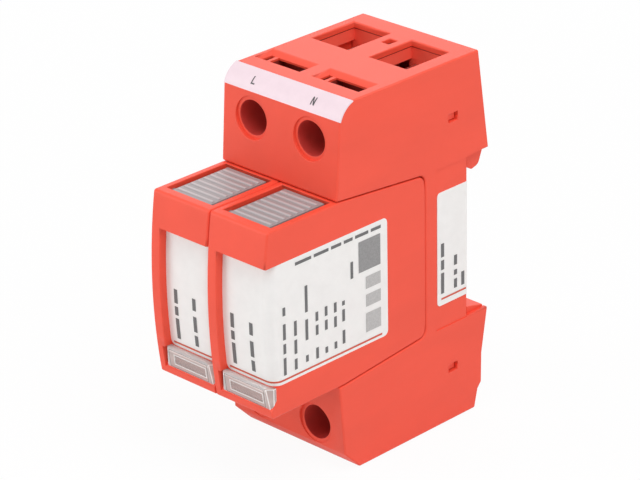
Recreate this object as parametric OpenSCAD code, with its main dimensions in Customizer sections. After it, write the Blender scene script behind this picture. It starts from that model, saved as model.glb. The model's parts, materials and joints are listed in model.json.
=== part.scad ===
// Two-pole surge arrester for a 35 mm mounting rail: a base with two plug-in modules.
// Millimetres. Origin at the centre of the rail seat, +X right, +Y to the rear, +Z up.

/* [Overall] */
// Width of one pole
pole_w = 18; // [17.4:0.1:20]
// Height of the base over both terminal blocks
base_h = 90; // [88:0.5:96]
// Depth from the rail seat to the foremost point of the modules
front_d = 65.4; // [64:0.1:70]
// Depth from the rail seat to the front of the terminal blocks
block_d = 42.4; // [41:0.1:44]
// Depth of the base behind the rail seat
rear_d = 7.4; // [7:0.1:8.5]

/* [Base housing] */
// Side walls of the base housing
side_wall = 1.4; // [1.2:0.05:1.6]
// Top and bottom walls of the base housing
top_wall = 1.4; // [1.3:0.1:1.8]
// Front walls of the terminal blocks
front_wall = 1.8; // [1.4:0.1:2.2]
// Walls round the module bay
bay_wall = 1.6; // [1.2:0.1:1.8]
// Setback of a block's front face at its outer edge
front_lean = 1.4; // [0.6:0.1:2]
// Width of the rounded edge of the upper block, front to rear
edge_y = 4.1; // [3:0.1:5]
// Height of the rounded edge of the upper block
edge_z = 4; // [3:0.1:5]
// Radius of the rounded edge of the upper block
edge_r = 6.3; // [5:0.1:9]
// Width of the chamfered edge of the lower block, front to rear
chin_y = 4.9; // [3.5:0.1:5.5]
// Height of the chamfered edge of the lower block
chin_z = 4.9; // [3.5:0.1:5]
// Depth of the top face behind the rail seat
top_rear_d = 3.8; // [3:0.1:5]
// Depth of the bottom face behind the rail seat
bottom_rear_d = 3; // [2.6:0.1:3.6]
// Clear height between the blocks behind the rail seat
rail_gap = 40.4; // [39.5:0.1:41.5]
// Height of the module bay at its mouth
bay_mouth_h = 45.4; // [44.5:0.1:46]
// Height of the module bay at its rear wall
bay_rear_h = 40.2; // [39.5:0.1:41]
// Depth of the spine between the bay and the rail seat
spine_d = 13.9; // [13.5:0.1:15]
// Corner radius at the rear of the bay
bay_r = 2; // [1:0.1:3]
// Thickness of the marking strip on the upper edge
strip_t = 0.3; // [0.2:0.05:0.5]
// Depth of the shallow side panels beside the spine
panel_t = 0.2; // [0.1:0.05:0.4]
// Width of the shallow side panels
panel_w = 10.4; // [9:0.1:11.5]
// Width of the base label
base_label_w = 10; // [7:0.1:10.2]
// Height of the base label
base_label_h = 28.3; // [20:0.1:34]

/* [Terminals] */
// Distance of the screw axes from the top and bottom of the base
screw_drop = 10.15; // [9.6:0.05:10.6]
// Diameter of the screwdriver shafts
shaft_dia = 8.2; // [7.6:0.1:8.6]
// Wall of the screwdriver shaft tubes
shaft_wall = 1.1; // [0.8:0.1:1.3]
// Diameter of the shallow ring round a shaft's mouth
mouth_dia = 10; // [9:0.1:10.6]
// Distance from the rail seat to the inner end of the shaft tubes
shaft_end_d = 33.2; // [32.6:0.1:34.5]
// Thread diameter of the terminal screws
screw_dia = 5; // [4.4:0.1:5.4]
// Head diameter of the terminal screws
screw_head_dia = 6.8; // [6:0.1:7.2]
// Height of the screw heads
screw_head_h = 3.2; // [2.6:0.1:3.4]
// Width of a pole beside its conductor entry
entry_margin = 6.7; // [6.2:0.1:7.5]
// Depth of the conductor entries, front to rear
entry_d = 13.8; // [12.5:0.1:14]
// Sideways offset of the entries from the pole centre
entry_shift = 0.75; // [0.5:0.05:0.9]
// Distance from the rail seat to the rear edge of the entries
entry_rear_d = 1.7; // [1.6:0.05:2.2]
// Width of a pole beside its busbar slot
slot_margin = 3.6; // [3.2:0.1:5.5]
// Depth of the funnels over the busbar slots, front to rear
slot_d = 6; // [5.6:0.1:6]
// Depth of the busbar slots, front to rear
slot_open_d = 4.4; // [4.2:0.1:5]
// Distance from the rail seat to the rear edge of the busbar slots
slot_rear_d = 26.4; // [26:0.1:26.8]
// Thickness of the holder's deck under the openings
deck_t = 3.1; // [2.6:0.1:3.4]
// Walls of the holder's terminal cells
cell_wall = 1; // [0.8:0.1:1]
// Width of a pole beside its terminal cage
cage_margin = 7.5; // [7.3:0.1:8.5]
// Height of the terminal cages
cage_h = 9.2; // [8:0.1:9.2]
// Length of the terminal cages along the screw
cage_l = 14.9; // [14:0.1:15]
// Wall of the terminal cages
cage_wall = 1.4; // [1.1:0.1:1.6]
// Threaded front wall of the terminal cages
cage_nut_t = 2.6; // [2:0.1:3]
// Travel of a terminal cage from open to clamped
cage_travel = 5.6; // [4:0.1:5.8]

/* [Contacts] */
// Distance of the plug contacts from the top and bottom of a module
blade_drop = 10.45; // [10.2:0.05:11.4]
// Width of the contact blades
blade_w = 8; // [6:0.1:8.2]
// Thickness of the contact blades
blade_t = 1.5; // [1:0.1:1.6]
// Length of the contact blades behind the module
blade_l = 8.6; // [7.5:0.1:9]
// Thickness of the contact strips
contact_t = 1.2; // [1:0.1:1.4]
// Gap between a contact strip and its cage on each side
contact_gap = 0.35; // [0.3:0.05:0.8]
// Distance from the rail seat to the rear face of the terminal bars
bar_rear_d = 10.6; // [10.3:0.1:10.7]

/* [Rail grip] */
// Thickness of the rear insert's plates
insert_t = 1.6; // [1.2:0.1:1.8]
// Distance from the rail seat to the front of the rail hook
hook_gap = 1.35; // [1.2:0.05:1.6]
// Height of the rail hook's tip above the rail centre
hook_tip_z = 15.7; // [15.2:0.1:16.4]
// Height of the foot's nose below the rail centre
nose_z = 15.4; // [15:0.1:16.4]
// Width of the rail foot
foot_w = 21.4; // [18:0.1:22]
// Depth of the rail foot's body
foot_d = 3.65; // [3.2:0.05:3.8]
// Travel of the rail foot when it is pulled down
foot_travel = 4; // [3:0.1:4.5]

/* [Modules] */
// Gap on each side of a module
module_gap = 0.1; // [0.1:0.05:0.3]
// Radius of the modules' curved fronts
front_r = 138; // [110:1:200]
// Wall of the module covers
cover_wall = 1.6; // [1.3:0.1:1.7]
// Width of the raised rim on the left of a front
rim_w = 2.9; // [2:0.1:3.4]
// Depth of the label panel behind the rim
label_recess = 2; // [1.5:0.1:2.1]
// Height of the band above the label
brow_h = 8.4; // [7.4:0.05:10.4]
// Gap between the label and the indicator window
label_gap = 0.2; // [0.2:0.05:0.8]
// Radius of the corner that the label runs round
label_corner_r = 2.5; // [1.5:0.1:2.8]
// Distance from the rail seat to the label's rear edge
label_rear_d = 26.5; // [24:0.1:34]
// Thickness of the film labels
film_t = 0.15; // [0.1:0.05:0.2]
// Height of the indicator window
window_h = 5.25; // [4.4:0.05:5.4]
// Height of the rim below the indicator window
sill_h = 2; // [1.8:0.05:2.8]
// Width of the rim beside the window
window_rim = 1.9; // [1.7:0.1:2.6]
// Distance from the window's rear edge to the module's foremost point
window_wrap = 3.3; // [3:0.1:3.3]
// Travel of the indicator flag when it trips
flag_travel = 5.5; // [4.5:0.1:6]
// Thickness of the varistor blocks
varistor_t = 5.5; // [4.5:0.1:5.8]

/* [Release keys] */
// Gap on each side of a ribbed key
key_side_gap = 1.2; // [0.8:0.1:2]
// Distance from the rail seat to the front of the keys
key_front_d = 60.55; // [59.5:0.05:60.6]
// Length of the ribbed part of the keys
key_l = 17.3; // [16.5:0.1:17.4]
// Thickness of the keys
key_t = 1.8; // [1.4:0.1:2]
// Depth of the keys below the modules' rims
key_drop = 0.45; // [0.4:0.05:0.9]
// Spacing of the key ribs
rib_pitch = 2; // [1.5:0.1:3]
// Height of the key ribs
rib_h = 0.2; // [0.1:0.05:0.3]
// Diameter of the key pivots
pivot_dia = 2.4; // [1.8:0.1:2.4]

/* [Hidden] */
left = -1;
right = 1;
upper = 1;
lower = -1;
$fn = 48;
// Clearances: sliding pieces, turning pins and threads, modules in their bay, pieces that
// stay put, pieces that all but touch, and openings that something passes through
slide_gap = 0.3;
pin_gap = 0.05;
bay_gap = 0.25;
fixed_gap = 0.2;
touch_gap = 0.1;
pass_gap = 0.5;
// Overshoot of a cut beyond the face that it opens
over = 1;

body_w = 2 * pole_w;
inner_w = body_w - 2 * side_wall;
half_h = base_h / 2;
half_gap = rail_gap / 2;
// Rounded outer edge of the upper block: lower and rear ends of the arc, and its centre
edge_a = [-(block_d - front_lean), half_h - edge_z];
edge_b = [-(block_d - front_lean - edge_y), half_h];
edge_chord = edge_b - edge_a;
edge_c = (edge_a + edge_b) / 2
  + [edge_chord.y, -edge_chord.x] / norm(edge_chord) * sqrt(edge_r ^ 2 - norm(edge_chord) ^ 2 / 4);
// Chamfered edge of the lower block: upper and lower ends, and the wall behind it
chin_a = [front_y(half_h - chin_z), chin_z - half_h];
chin_b = chin_a + [chin_y, -chin_z];
chin_wall_y = sqrt(2) * front_wall;
bay_slope = (bay_mouth_h - bay_rear_h) / 2 / (block_d - spine_d);
function bay_z(y) = bay_rear_h / 2 + bay_slope * (-y - spine_d);
function front_y(z) = -block_d + front_lean * (z - bay_mouth_h / 2) / (half_h - edge_z - bay_mouth_h / 2);

screw_z = half_h - screw_drop;
mouth_depth = 0.6;
mouth_floor_y = front_y(screw_z) + mouth_depth;
inner_top = half_h - top_wall;
deck_z = inner_top - deck_t;
entry_w = pole_w - entry_margin;
slot_w = pole_w - slot_margin;
cage_w = pole_w - cage_margin;
contact_w = cage_w - 2 * cage_wall - 2 * contact_gap;
entry_x0 = -entry_w / 2 - entry_shift;
slot_x0 = -slot_w / 2 - entry_shift;
slot_front_y = -slot_rear_d - slot_d;
// Funnel over a busbar slot, and the rib that divides the slot
funnel_h = 0.9;
funnel_end = 1.1;
slot_rib_x = slot_x0 + 2.4;
slot_rib_t = 1;
// Terminal cell of the holder, round the cage and its travel
cage_rear_y = -entry_rear_d;
cage_front_y = cage_rear_y - cage_l;
cell_x0 = entry_x0;
cell_x1 = cage_w / 2 + slide_gap;
cell_y0 = cage_front_y - cage_travel - slide_gap;
cell_y1 = cage_rear_y + slide_gap;
holder_rear_y = cell_y1 + cell_wall;
holder_front_y = -shaft_end_d + fixed_gap;
holder_bottom_z = screw_z - cage_h / 2 - cell_wall;
screw_head_y = -shaft_end_d + slide_gap;
bush_front_y = screw_head_y + screw_head_h + fixed_gap;
bar_front_y = -bar_rear_d - contact_t;

module_w = pole_w - 2 * module_gap;
module_top = bay_mouth_h / 2 - bay_gap;
module_rear_y = -spine_d - bay_gap;
cover_inner_w = module_w - 2 * cover_wall;
window_bottom = module_top - sill_h;
window_top = window_bottom - window_h;
label_bottom = window_top - label_gap;
label_top = module_top - brow_h;
cover_front_wall = 1.4;
cover_front_y = -front_d + label_recess + cover_front_wall;
front_c = -front_d + front_r;
panel_r = front_r - label_recess;
carrier_w = cover_inner_w - fixed_gap;
blade_z = module_top - blade_drop;
flange_h = 6;
flange_gap = 0.4;
shelf_z = blade_z + flange_h / 2 + flange_gap;
shelf_t = 1.2;
plate_t = 2;
strap_t = 0.8;
varistor_x0 = -cover_inner_w / 2 + strap_t + fixed_gap;
varistor_x1 = varistor_x0 + varistor_t;
flange_y = module_rear_y - plate_t;
flange_t = 1.5;
flag_y = cover_front_y + slide_gap;
flag_t = 0.8;
key_w = cover_inner_w - 2 * key_side_gap;
key_top = module_top - key_drop;
key_rear_y = -key_front_d + key_l;
key_gap = 0.4;
pivot_inset = 1.6;
pivot_drop = 0.8;
pivot_l = 1;
key_pivot_y = -key_front_d + pivot_inset;
key_pivot_z = key_top - key_t / 2 - pivot_drop;
key_spring_inset = 6;
key_spring_y = key_rear_y - key_spring_inset;
latch_inset = 3.5;
latch_y = -block_d + latch_inset;
latch_w = 6;
latch_l = 2;
latch_t = 1.6;

module along_x(width) {
  rotate([90, 0, 90]) linear_extrude(width, center = true) children();
}

module block(x0, x1, y0, y1, z0, z1) {
  translate([x0, y0, z0]) cube([x1 - x0, y1 - y0, z1 - z0]);
}

module at_pole(side) {
  translate([side * pole_w / 2, 0, 0]) children();
}

module at_level(level) {
  if (level == upper) children();
  else mirror([0, 0, 1]) children();
}

// Polygon points with the corner at p rounded between its neighbours a and b
function unit(v) = v / norm(v);
function corner_arc(a, p, b, r, steps = 6) =
  let (
    u = unit(a - p),
    v = unit(b - p),
    half = acos(u * v) / 2,
    c = p + unit(u + v) * r / sin(half),
    from = p + u * r / tan(half) - c,
    to = p + v * r / tan(half) - c,
    turn = atan2(from.x * to.y - from.y * to.x, from * to)
  )
  [for (i = [0 : steps]) c + [[cos(turn * i / steps), -sin(turn * i / steps)],
                              [sin(turn * i / steps), cos(turn * i / steps)]] * from];
function rounded(points, radii) =
  let (n = len(points))
  [for (i = [0 : n - 1]) each radii[i] == 0 ? [points[i]]
    : corner_arc(points[(i + n - 1) % n], points[i], points[(i + 1) % n], radii[i])];

// Round wire wound about +Z from z0 to z1
module coil(radius, wire_dia, z0, z1, turns, sides = 6, per_turn = 12) {
  rings = round(turns * per_turn);
  rise = z1 - z0 - wire_dia;
  points = [for (i = [0 : rings], j = [0 : sides - 1])
    let (
      a = 360 * turns * i / rings,
      b = 360 * j / sides,
      r = radius + wire_dia / 2 * cos(b)
    )
    [r * cos(a), r * sin(a), z0 + wire_dia / 2 + rise * i / rings + wire_dia / 2 * sin(b)]];
  faces = concat(
    [[for (j = [0 : sides - 1]) j]],
    [for (i = [0 : rings - 1], j = [0 : sides - 1])
      let (
        k = (j + 1) % sides,
        near = i * sides,
        far = near + sides
      )
      each [[near + j, far + j, far + k], [near + j, far + k, near + k]]],
    [[for (j = [sides - 1 : -1 : 0]) rings * sides + j]]
  );
  polyhedron(points, faces);
}

// Base housing

module block_edge() {
  intersection() {
    translate(edge_c) circle(edge_r, $fn = 180);
    polygon([edge_a, [edge_a.x, edge_b.y], edge_b]);
  }
}

module strip_outline() {
  intersection() {
    difference() {
      translate(edge_c) circle(edge_r, $fn = 180);
      translate(edge_c) circle(edge_r - strip_t, $fn = 180);
    }
    polygon([edge_c, edge_c + 2 * (edge_a - edge_c), edge_c + 2 * (edge_b - edge_c)]);
  }
}

module bay_outline() {
  mouth_y = -block_d - over;
  polygon(rounded(
    [[mouth_y, bay_z(mouth_y)], [-spine_d, bay_rear_h / 2],
     [-spine_d, -bay_rear_h / 2], [mouth_y, -bay_z(mouth_y)]],
    [0, bay_r, bay_r, 0]));
}

// Rear edge of the lower block, from the rail gap down, with the notch at the foot's end
shin_l = 0.46 * (half_h - half_gap);
shin_fall = 2;
notch_depth = 1.3;
notch_top = 6;
notch_bottom = 4.6;
lower_rear = [[rear_d, -half_gap], [rear_d - shin_fall, -half_gap - shin_l],
  [rear_d - shin_fall - 0.1, -half_h + notch_top],
  [rear_d - shin_fall - notch_depth, -half_h + notch_bottom], [bottom_rear_d, -half_h]];

module base_outline() {
  difference() {
    union() {
      polygon([[0, half_gap], [rear_d, half_gap], [top_rear_d, half_h], edge_b, edge_a,
        [-block_d, bay_mouth_h / 2], [-block_d, 0], [0, 0]]);
      polygon(concat([[0, 0], [0, -half_gap]], lower_rear,
        [chin_b, chin_a, [-block_d, -bay_mouth_h / 2], [-block_d, 0]]));
      block_edge();
    }
    bay_outline();
    strip_outline();
  }
}

// Hollow of the housing, open to the rear
module base_hollow() {
  mouth_y = -block_d + front_wall;
  rear_y = -spine_d + bay_wall;
  polygon([
    [rear_d + over, inner_top],
    [edge_b.x, inner_top],
    [edge_a.x + front_wall, half_h - edge_z],
    [mouth_y, bay_z(mouth_y) + bay_wall],
    [rear_y, bay_z(rear_y) + bay_wall],
    [rear_y, -bay_z(rear_y) - bay_wall],
    [mouth_y, -bay_z(mouth_y) - bay_wall],
    [chin_a.x + front_wall, chin_a.y + (chin_wall_y - front_wall) * chin_z / chin_y],
    [chin_b.x + chin_wall_y - top_wall * chin_y / chin_z, -inner_top],
    [rear_d + over, -inner_top]
  ]);
}

module entry_cut(z0, z1, wider = 0) {
  block(entry_x0 - wider, entry_x0 + entry_w + wider, -entry_rear_d - entry_d - wider, -entry_rear_d + wider,
    z0, z1);
}

// Busbar slot on both sides of its rib
module slot_cut(end_inset, rear_y, z0, z1) {
  block(slot_x0 + end_inset, slot_rib_x, slot_front_y, rear_y, z0, z1);
  block(slot_rib_x + slot_rib_t, slot_x0 + slot_w - end_inset, slot_front_y, rear_y, z0, z1);
}

// Funnel in the top wall, sloping down to the slot from the rear and from both ends
module slot_funnel() {
  floor_z = half_h - funnel_h;
  top_z = half_h + over;
  rise = top_z - floor_z;
  rear_run = (slot_d - slot_open_d) * rise / funnel_h;
  end_run = funnel_end * rise / funnel_h;
  x0 = slot_x0 + funnel_end;
  x1 = slot_x0 + slot_w - funnel_end;
  rear_y = slot_front_y + slot_open_d;
  intersection() {
    along_x(2 * pole_w) polygon([[slot_front_y, floor_z], [rear_y, floor_z],
      [rear_y + rear_run, top_z], [slot_front_y, top_z]]);
    translate([0, rear_y + slot_d, 0]) rotate([90, 0, 0]) linear_extrude(3 * slot_d)
      polygon([[x0, floor_z], [x1, floor_z], [x1 + end_run, top_z], [x0 - end_run, top_z]]);
  }
}

// Snap windows: one on each side of a block and one in its top
snap_y = -4.7;
snap_l = 3.1;
snap_h = 2.1;
snap_drop = 13.65;
snap_z = half_h - snap_drop;
snap_top_x = -0.65;
snap_top_y = -5.55;
snap_top_w = 2.3;
snap_top_l = 2.9;

module snap_window_cuts() {
  block(-body_w, body_w, snap_y - snap_l / 2, snap_y + snap_l / 2, snap_z - snap_h / 2, snap_z + snap_h / 2);
  block(snap_top_x - snap_top_w / 2, snap_top_x + snap_top_w / 2,
    snap_top_y - snap_top_l / 2, snap_top_y + snap_top_l / 2, inner_top - over, half_h + over);
}

module shaft(radius, y0, y1) {
  translate([0, y0, screw_z]) rotate([-90, 0, 0]) cylinder(r = radius, h = y1 - y0);
}

module base_housing() {
  color("tomato") difference() {
    union() {
      difference() {
        along_x(body_w) base_outline();
        along_x(inner_w) base_hollow();
      }
      for (level = [upper, lower], side = [left, right])
        at_level(level) at_pole(side)
          shaft(shaft_dia / 2 + shaft_wall, mouth_floor_y + fixed_gap, -shaft_end_d);
    }
    for (level = [upper, lower]) at_level(level) {
      snap_window_cuts();
      for (side = [left, right]) at_pole(side) {
        entry_cut(inner_top - over, half_h + over);
        slot_funnel();
        slot_cut(funnel_end, slot_front_y + slot_open_d, inner_top - over, half_h);
        shaft(shaft_dia / 2, -block_d - over, -shaft_end_d + over);
        shaft(mouth_dia / 2, -block_d - over, mouth_floor_y);
        // Contact slot in the bay's rear wall and latch window in its roof
        block(-blade_w / 2 - pass_gap, blade_w / 2 + pass_gap, -spine_d - over, -spine_d + bay_wall + over,
          blade_z - blade_t / 2 - pass_gap, blade_z + blade_t / 2 + pass_gap);
        block(-latch_w / 2 - pass_gap, latch_w / 2 + pass_gap,
          latch_y - pass_gap, latch_y + latch_l + pass_gap,
          bay_z(latch_y) - over, bay_z(latch_y) + bay_wall + pass_gap);
      }
    }
    for (side = [left, right])
      translate([side * (body_w / 2 + over - panel_t), -panel_w / 2 + over / 2, 0])
        cube([2 * over, panel_w + over, rail_gap - fixed_gap], center = true);
    // Notch in the bottom wall for the rail foot
    block(-shoulder_x, shoulder_x, plate_rear_y, rear_d, -half_h - over, -inner_top + over);
  }
}

module marking_strip() {
  color("whitesmoke") along_x(body_w) strip_outline();
}

module base_label() {
  corner_r = 1;
  half = base_label_h / 2;
  color("white") translate([body_w / 2 - panel_t + film_t / 2, 0, 0]) along_x(film_t)
    polygon(rounded([[-base_label_w, -half], [0, -half], [0, half], [-base_label_w, half]],
      [corner_r, 0, 0, corner_r]));
}

// Rear insert with the rail hook and the foot's guides

plate_gap = 0.15;
back_plate_t = 1.2;
plate_front_y = holder_rear_y + plate_gap;
plate_rear_y = plate_front_y + back_plate_t;
shoulder_x = foot_w / 2 + slide_gap;
tongue_w = 1.6;
tongue_t = 1;
tongue_inset = 1.25;
tongue_y = plate_rear_y + tongue_inset;
foot_y = plate_rear_y + slide_gap;
foot_web = 0.8;
foot_hollow_y = foot_y + foot_d - foot_web;
peg_w = 4.4;
peg_h = 2;
peg_z = -half_h + notch_bottom;
foot_slot_h = 11.6;
foot_slot_z = peg_z - touch_gap;

module hook_outline() {
  root = half_gap + insert_t / 2;
  polygon(rounded(
    [[hook_gap, root], [hook_gap, hook_tip_z + 1.2], [hook_gap + 1.75, hook_tip_z],
     [rear_d - 2, hook_tip_z + 0.6], [rear_d - 0.4, half_gap], [rear_d - 0.4, root]],
    [0, 0.3, 0.6, 1.8, 0, 0]));
}

module insert_outline() {
  plate_top_y = top_rear_d + (rear_d - top_rear_d) * top_wall / (half_h - half_gap);
  union() {
    // Rear plate of the upper block, roof of the rail gap, and rail seat
    polygon([[rear_d, half_gap], [rear_d - insert_t, half_gap],
      [plate_top_y - insert_t, inner_top], [plate_top_y, inner_top]]);
    translate([-insert_t, half_gap]) square([rear_d, insert_t]);
    translate([-insert_t, -half_gap - insert_t]) square([insert_t, 2 * half_gap + 2 * insert_t]);
    translate([-insert_t, -half_gap - insert_t]) square([insert_t + plate_rear_y, insert_t]);
    translate([plate_front_y, -inner_top]) square([plate_rear_y - plate_front_y, inner_top - half_gap]);
    hook_outline();
  }
}

module shoulder_outline() {
  inset = 0.2;
  polygon(concat(
    [[plate_rear_y, -inner_top], [plate_rear_y, -half_gap - inset], [hook_gap + 0.15, -half_gap - inset],
     [hook_gap + 0.15, -half_gap + 1.7], [rear_d - 0.45, -half_gap + 0.5]],
    [for (i = [0 : 3]) lower_rear[i] - [inset, inset]],
    [[bottom_rear_d + 0.2, -inner_top]]));
}

module rear_insert() {
  shoulder_w = inner_w / 2 - shoulder_x;
  color("tomato") union() {
    along_x(inner_w) insert_outline();
    for (side = [left, right]) difference() {
      translate([side * (shoulder_x + shoulder_w / 2), 0, 0]) along_x(shoulder_w) shoulder_outline();
      translate([side * shoulder_x, tongue_y + tongue_t / 2, -half_h / 2 - half_gap / 2])
        cube([2 * (tongue_w + slide_gap), tongue_t + 2 * slide_gap, base_h], center = true);
    }
    block(-peg_w / 2, peg_w / 2, plate_front_y, foot_hollow_y - slide_gap, peg_z, peg_z + peg_h);
  }
}

module rail_foot() {
  rear_y = foot_y + foot_d;
  bottom_z = -half_h + 0.7;
  heel_d = 1.4;
  heel_z = -half_gap + 1.2;
  heel_h = 2.5;
  calf_l = 3.5;
  toe_z = -half_h + notch_bottom;
  tongue_z = heel_z - heel_h - calf_l;
  tip_slot_w = 6;
  tip_slot_h = 1.4;
  tip_slot_z = bottom_z + 0.9;
  color("tomato") difference() {
    union() {
      along_x(foot_w) polygon(rounded(
        [[foot_y, bottom_z], [foot_y, -nose_z - 0.7], [foot_y + 0.8, -nose_z], [foot_y + 1.7, -nose_z - 0.2],
         [rear_y + heel_d, heel_z], [rear_y + heel_d, heel_z - heel_h], [rear_y, tongue_z],
         [rear_y, -half_h + notch_top + 1], [rear_y - heel_d, toe_z], [rear_y - heel_d - 0.4, bottom_z]],
        [0, 0, 0, 0, 0.6, 0, 1, 0, 0, 0.4]));
      block(-foot_w / 2 - tongue_w, foot_w / 2 + tongue_w, tongue_y, tongue_y + tongue_t,
        -inner_top + foot_travel + slide_gap, tongue_z - fixed_gap);
    }
    block(-peg_w / 2 - slide_gap, peg_w / 2 + slide_gap, foot_y - over, foot_hollow_y,
      foot_slot_z, foot_slot_z + foot_slot_h);
    // Slot for the tip of a screwdriver
    block(-tip_slot_w / 2, tip_slot_w / 2, foot_y - over, rear_y + over, tip_slot_z, tip_slot_z + tip_slot_h);
  }
}

module foot_spring() {
  wire_dia = 0.5;
  coil_r = 0.95;
  color("silver") translate([0, (foot_y + foot_hollow_y) / 2, 0])
    coil(coil_r, wire_dia, peg_z + peg_h, foot_slot_z + foot_slot_h, turns = 6);
}

// Terminals

module terminal_holder(level) {
  bush_wall = 2;
  lug_inset = 1;
  mouth_room = 4;
  color("tomato") at_level(level) difference() {
    union() {
      block(-inner_w / 2 + touch_gap, inner_w / 2 - touch_gap, holder_front_y, holder_rear_y,
        deck_z, inner_top);
      for (side = [left, right]) at_pole(side) {
        block(cell_x0 - cell_wall, cell_x1 + cell_wall, cell_y0 - cell_wall, holder_rear_y,
          holder_bottom_z, deck_z + over);
        shaft(screw_dia / 2 + bush_wall, bush_front_y, cell_y0);
      }
      // Snap lugs that stand in the housing's windows
      for (side = [left, right])
        at_pole(side) block(
          side == right ? cell_x1 : -pole_w / 2 + lug_inset, side == right ? pole_w / 2 - lug_inset : cell_x0,
          snap_y - snap_l / 2 + fixed_gap, snap_y + snap_l / 2 - fixed_gap,
          snap_z - snap_h / 2 + fixed_gap, snap_z + snap_h / 2 - fixed_gap);
      block(snap_top_x - snap_top_w / 2 + fixed_gap, snap_top_x + snap_top_w / 2 - fixed_gap,
        snap_top_y - snap_top_l / 2 + fixed_gap, snap_top_y + snap_top_l / 2 - fixed_gap,
        deck_z, half_h - lug_inset);
    }
    for (side = [left, right]) at_pole(side) {
      entry_cut(deck_z - over, inner_top + over, fixed_gap);
      slot_cut(0, -slot_rear_d, deck_z - over, inner_top + over);
      block(cell_x0, cell_x1, cell_y0, cell_y1, holder_bottom_z - over, deck_z);
      // Room beside the conductor, over the low left wall of the cell
      block(cell_x0 - cell_wall - over, cell_x1, cell_y0, cell_y1, deck_z - mouth_room, deck_z);
      shaft(screw_dia / 2 + slide_gap, bush_front_y - over, cell_y0 + over);
    }
  }
}

module terminal_screw(level, side) {
  slot_t = 1;
  slot_l = screw_head_dia - 1.6;
  slot_depth = 1.4;
  color("silver") at_level(level) at_pole(side) difference() {
    union() {
      shaft(screw_head_dia / 2, screw_head_y, screw_head_y + screw_head_h);
      shaft(screw_dia / 2, screw_head_y + screw_head_h, bar_front_y - touch_gap);
    }
    for (turn = [0, 90])
      translate([0, screw_head_y, screw_z]) rotate([0, turn, 0])
        cube([slot_l, 2 * slot_depth, slot_t], center = true);
  }
}

module terminal_cage(level, side) {
  color("silver") at_level(level) at_pole(side) difference() {
    block(-cage_w / 2, cage_w / 2, cage_front_y, cage_rear_y, screw_z - cage_h / 2, screw_z + cage_h / 2);
    block(-cage_w / 2 + cage_wall, cage_w / 2 - cage_wall, cage_front_y + cage_nut_t, cage_rear_y - cage_wall,
      screw_z - cage_h, screw_z + cage_h);
    shaft(screw_dia / 2 + pin_gap, cage_front_y - over, cage_front_y + cage_nut_t + over);
  }
}

// Bent strip: terminal bar, then a clip with two leaves round the blade
module contact_outline() {
  grip = blade_t / 2 + pin_gap;
  leaf_front = bar_front_y;
  tip_room = 0.8;
  turn_y = module_rear_y + blade_l + tip_room;
  top_z = screw_z + cage_h / 2 - pass_gap;
  union() {
    translate([bar_front_y, blade_z + grip]) square([contact_t, top_z - blade_z - grip]);
    for (leaf = [grip, -grip - contact_t])
      translate([leaf_front, blade_z + leaf]) square([turn_y - leaf_front, contact_t]);
    intersection() {
      difference() {
        translate([turn_y, blade_z]) circle(grip + contact_t);
        translate([turn_y, blade_z]) circle(grip);
      }
      translate([turn_y, blade_z - 2 * contact_t]) square(4 * contact_t);
    }
  }
}

module contact_strip(level, side) {
  color("peru") at_level(level) at_pole(side) along_x(contact_w) contact_outline();
}

// Modules

module module_outline() {
  rear_z = bay_z(module_rear_y) - bay_gap;
  intersection() {
    polygon(rounded(
      [[-front_d - over, module_top], [-block_d, module_top], [module_rear_y, rear_z],
       [module_rear_y, -rear_z], [-block_d, -module_top], [-front_d - over, -module_top]],
      [0, 0, bay_r, bay_r, 0, 0]));
    translate([front_c, 0]) circle(front_r, $fn = 720);
  }
}

module cover_hollow() {
  top_z = module_top - cover_wall;
  rear_z = bay_z(module_rear_y) - bay_gap - cover_wall;
  polygon([[cover_front_y, top_z], [-block_d, top_z], [module_rear_y + over, rear_z],
    [module_rear_y + over, -rear_z], [-block_d, -top_z], [cover_front_y, -top_z]]);
}

// Sweeps a profile (x: radius, y: sideways) along the curved front
module front_sweep() {
  angle = 16;
  translate([0, front_c, 0]) rotate([0, 90, 0]) rotate([0, 0, -90 - angle / 2])
    rotate_extrude(angle = angle, $fn = 720) children();
}

// Label panel down to the window: everything ahead of it, with the rounded right corner
module panel_cut() {
  right_x = module_w / 2;
  r = label_corner_r;
  intersection() {
    front_sweep() union() {
      translate([panel_r, -module_w / 2 + rim_w]) square([label_recess + over, module_w]);
      difference() {
        translate([panel_r - r, right_x - r]) square([r + over, r + over]);
        translate([panel_r - r, right_x - r]) circle(r);
      }
    }
    block(-pole_w, pole_w, -front_d - over, -block_d, -window_top - touch_gap, label_top);
  }
}

// Film label: front, round the corner, and back along the side. Its pocket stands proud to open the cover
module label_film(proud) {
  right_x = module_w / 2;
  r = label_corner_r;
  side_l = 4;
  side_lap = 1;
  side_front_y = -front_d + label_recess + r + side_l - side_lap;
  film_r = 1.3;
  union() {
    intersection() {
      front_sweep() union() {
        translate([panel_r - film_t, -module_w / 2 + rim_w])
          square([film_t + proud, right_x - r + module_w / 2 - rim_w]);
        intersection() {
          difference() {
            translate([panel_r - r, right_x - r]) circle(r + proud);
            translate([panel_r - r, right_x - r]) circle(r - film_t);
          }
          translate([panel_r - r, right_x - r]) square(r + proud);
        }
        translate([panel_r - r - side_l, right_x - film_t]) square([side_l, film_t + proud]);
      }
      translate([0, -block_d, 0]) rotate([90, 0, 0]) linear_extrude(front_d + over - block_d)
        polygon(rounded([[-module_w / 2 + rim_w, -label_bottom], [pole_w, -label_bottom],
          [pole_w, label_top], [-module_w / 2 + rim_w, label_top]], [film_r, 0, 0, 0]));
    }
    translate([right_x + (proud - film_t) / 2, 0, 0]) along_x(film_t + proud)
      polygon(rounded([[side_front_y, -label_bottom], [-label_rear_d, -label_bottom],
        [-label_rear_d, label_top], [side_front_y, label_top]], [0, film_r, film_r, 0]));
  }
}

window_rear_y = -front_d + window_wrap;

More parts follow.
